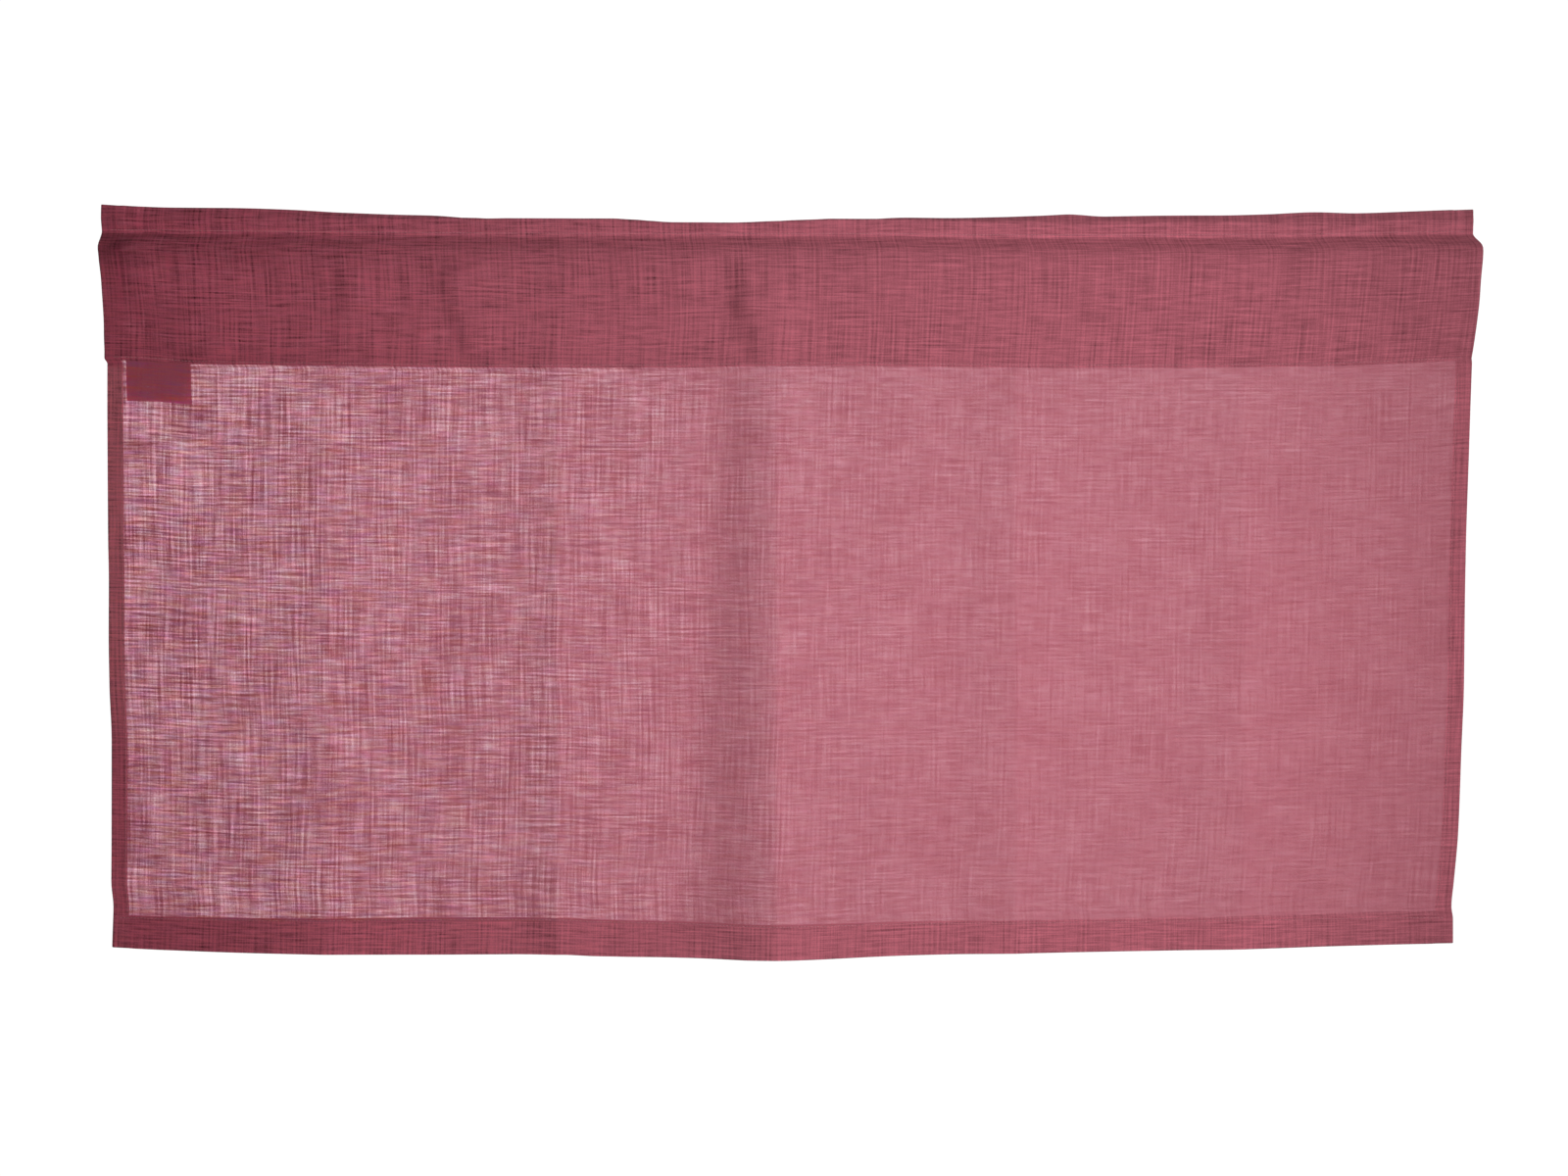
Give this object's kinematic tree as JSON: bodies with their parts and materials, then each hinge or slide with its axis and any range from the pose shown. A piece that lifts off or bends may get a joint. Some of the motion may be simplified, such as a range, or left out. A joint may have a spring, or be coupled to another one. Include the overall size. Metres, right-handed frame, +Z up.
{
  "type": "cafe curtain",
  "caption": "Sheer slub-weave cafe curtain panel, hung flat, with a small header frill over an open rod pocket, narrow side hems and a deeper bottom hem",
  "frame": {"origin": "middle of the curtain's top edge, on the highest line of the header frill, where the curtain is held up", "axes": "+X along the curtain's width to the right as seen from its face, +Y from its face to its back, +Z up"},
  "size_m": [1.2092, 0.0305, 0.6625],
  "materials": {
    "sheer_cloth": "sheer slubbed linen-look voile, dusty raspberry, matte",
    "label_tape": "plain woven label tape, blank, slight sheen"
  },
  "bodies": {
    "root": {"heading": "sheer_cloth", "panel": "sheer_cloth", "care_label": "label_tape"}
  },
  "joints": []
}
